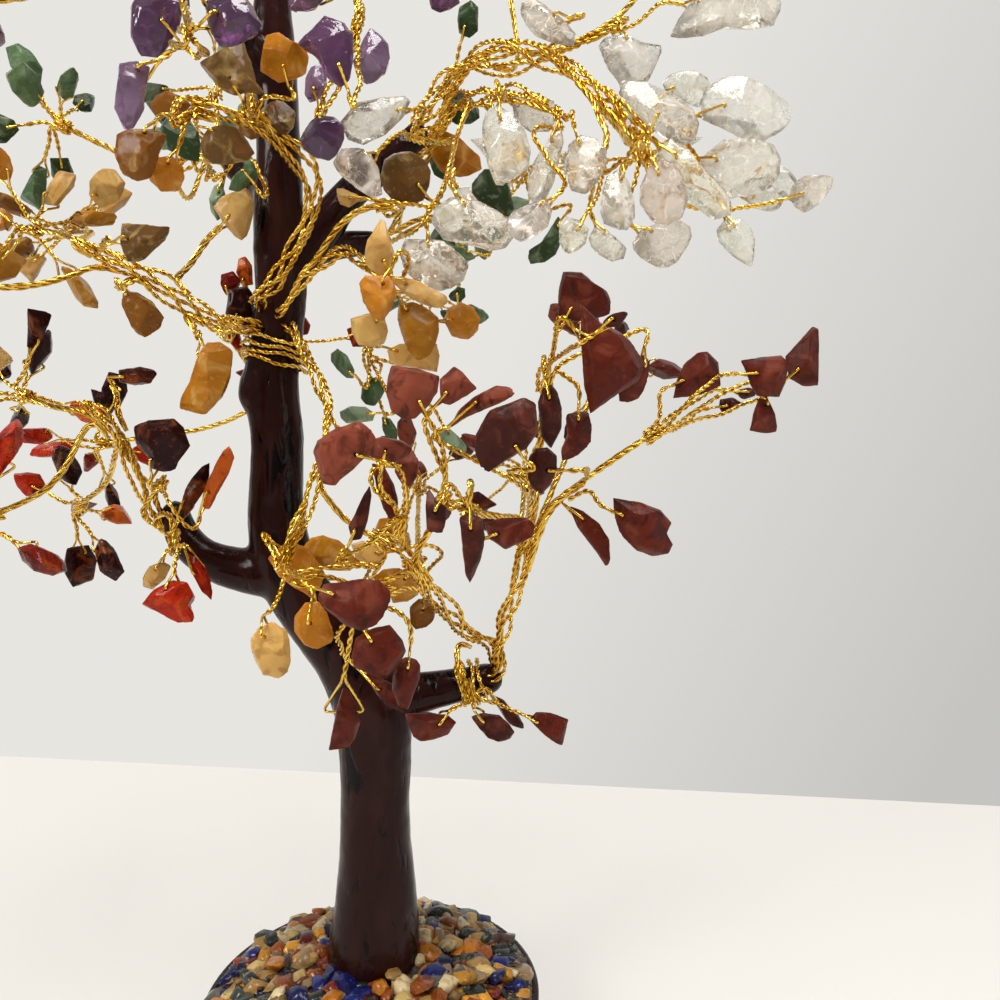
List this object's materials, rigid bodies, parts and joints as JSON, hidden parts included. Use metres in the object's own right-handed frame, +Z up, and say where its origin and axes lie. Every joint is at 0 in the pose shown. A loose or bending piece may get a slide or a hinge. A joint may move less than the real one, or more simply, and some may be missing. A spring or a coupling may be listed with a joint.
{
  "type": "gemstone tree ornament",
  "caption": "Wire tree ornament with drilled stone chips on twisted gilt wire, a lacquered forked trunk and a gravel-topped round base.",
  "frame": {"origin": "middle of the plinth's underside", "axes": "+Z up, -Y towards the viewer of the picture, +X to that viewer's right"},
  "size_m": [0.2064, 0.1446, 0.3],
  "materials": {
    "gilt_wire": "gilded wire, bright",
    "amethyst": "tumbled amethyst, polished",
    "green_aventurine": "tumbled green aventurine, polished",
    "carnelian": "tumbled carnelian, polished",
    "yellow_aventurine": "tumbled honey-yellow quartz, polished",
    "gravel_amber": "tumbled chips under clear resin, glossy",
    "gravel_blue": "tumbled chips under clear resin, glossy",
    "gravel_cream": "tumbled chips under clear resin, glossy",
    "gravel_grey": "tumbled chips under clear resin, glossy",
    "gravel_red": "tumbled chips under clear resin, glossy",
    "red_jasper": "tumbled red jasper, satin polish with dark bands",
    "plinth_lacquer": "dark brown gloss lacquer on a turned disc",
    "clear_quartz": "tumbled clear quartz, polished and veiled",
    "clear_resin": "clear casting resin, glossy",
    "trunk_lacquer": "dark red-brown gloss lacquer with black mottling"
  },
  "bodies": {
    "tree": {"amethyst_left_rope": "gilt_wire", "amethyst_left_stones": "amethyst", "amethyst_left_twigs": "gilt_wire", "amethyst_top_rope": "gilt_wire", "amethyst_top_stones": "amethyst", "amethyst_top_twigs": "gilt_wire", "aventurine_back_rope": "gilt_wire", "aventurine_back_stones": "green_aventurine", "aventurine_back_twigs": "gilt_wire", "aventurine_left_rope": "gilt_wire", "aventurine_left_stones": "green_aventurine", "aventurine_left_twigs": "gilt_wire", "carnelian_back_rope": "gilt_wire", "carnelian_back_stones": "carnelian", "carnelian_back_twigs": "gilt_wire", "carnelian_left_rope": "gilt_wire", "carnelian_left_stones": "carnelian", "carnelian_left_twigs": "gilt_wire", "citrine_high_rope": "gilt_wire", "citrine_high_stones": "yellow_aventurine", "citrine_high_twigs": "gilt_wire", "citrine_left_rope": "gilt_wire", "citrine_left_stones": "yellow_aventurine", "citrine_left_twigs": "gilt_wire", "citrine_low_rope": "gilt_wire", "citrine_low_stones": "yellow_aventurine", "citrine_low_twigs": "gilt_wire", "citrine_outer_rope": "gilt_wire", "citrine_outer_stones": "yellow_aventurine", "citrine_outer_twigs": "gilt_wire", "gravel_amber": "gravel_amber", "gravel_blue": "gravel_blue", "gravel_cream": "gravel_cream", "gravel_grey": "gravel_grey", "gravel_red": "gravel_red", "jasper_front_rope": "gilt_wire", "jasper_front_stones": "red_jasper", "jasper_front_twigs": "gilt_wire", "jasper_right_rope": "gilt_wire", "jasper_right_stones": "red_jasper", "jasper_right_twigs": "gilt_wire", "knob_winding": "gilt_wire", "plinth": "plinth_lacquer", "quartz_mid_rope": "gilt_wire", "quartz_mid_stones": "clear_quartz", "quartz_mid_twigs": "gilt_wire", "quartz_right_rope": "gilt_wire", "quartz_right_stones": "clear_quartz", "quartz_right_twigs": "gilt_wire", "quartz_top_rope": "gilt_wire", "quartz_top_stones": "clear_quartz", "quartz_top_twigs": "gilt_wire", "resin_bed": "clear_resin", "stub_winding": "gilt_wire", "trunk": "trunk_lacquer", "trunk_core": "gilt_wire"},
    "jasper_drop": {"jasper_drop": "red_jasper"},
    "citrine_drop_left": {"citrine_drop_left": "yellow_aventurine"},
    "citrine_drop_right": {"citrine_drop_right": "yellow_aventurine"}
  },
  "joints": [
    {"name": "jasper_drop_swing", "type": "hinge", "parent": "tree", "child": "jasper_drop", "pos_m": [-0.00063, -0.032, 0.08973], "axis": [1, 0, 0], "range_deg": [-22, 22]},
    {"name": "citrine_drop_left_swing", "type": "hinge", "parent": "tree", "child": "citrine_drop_left", "pos_m": [-0.01606, -0.03, 0.10381], "axis": [0, 1, 0], "range_deg": [-16, 16]},
    {"name": "citrine_drop_right_swing", "type": "hinge", "parent": "tree", "child": "citrine_drop_right", "pos_m": [-0.00546, -0.037, 0.10764], "axis": [0, 1, 0], "range_deg": [-14, 14]}
  ]
}
